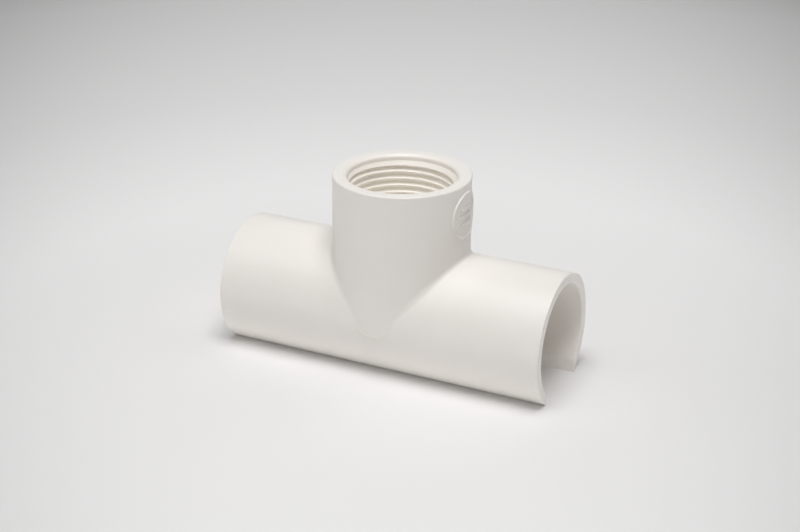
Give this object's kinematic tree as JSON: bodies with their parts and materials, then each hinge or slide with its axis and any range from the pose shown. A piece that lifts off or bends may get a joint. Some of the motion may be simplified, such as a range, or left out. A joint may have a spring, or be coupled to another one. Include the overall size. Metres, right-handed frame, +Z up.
{
  "type": "clip-on saddle tee pipe fitting",
  "caption": "White PVC saddle tee: a slotted tube that clips sideways over a pipe, with a threaded round outlet standing on its middle.",
  "frame": {"origin": "on the ground under the middle of the run, between the two lips it rests on", "axes": "+X along the run, +Y across it from the front jaw to the rear jaw, +Z up along the outlet towards its rim"},
  "size_m": [0.1046, 0.0414, 0.0593],
  "materials": {
    "white_pvc": "satin injection-moulded white PVC, slightly warm, softly glossy"
  },
  "bodies": {
    "saddle": {"saddle_body": "white_pvc"},
    "front_jaw": {"front_jaw": "white_pvc"},
    "rear_jaw": {"rear_jaw": "white_pvc"}
  },
  "joints": [
    {"name": "front_jaw_flex", "type": "hinge", "parent": "saddle", "child": "front_jaw", "pos_m": [0, -0.01827, 0.01443], "axis": [-1, 0, 0], "range_deg": [0, 26], "stiffness_Nm_per_rad": 0.02},
    {"name": "rear_jaw_flex", "type": "hinge", "parent": "saddle", "child": "rear_jaw", "pos_m": [0, 0.01827, 0.01443], "axis": [1, 0, 0], "range_deg": [0, 26], "stiffness_Nm_per_rad": 0.02}
  ],
  "couplings": [
    {"joint": "rear_jaw_flex", "follows": "front_jaw_flex", "ratio": 1}
  ]
}
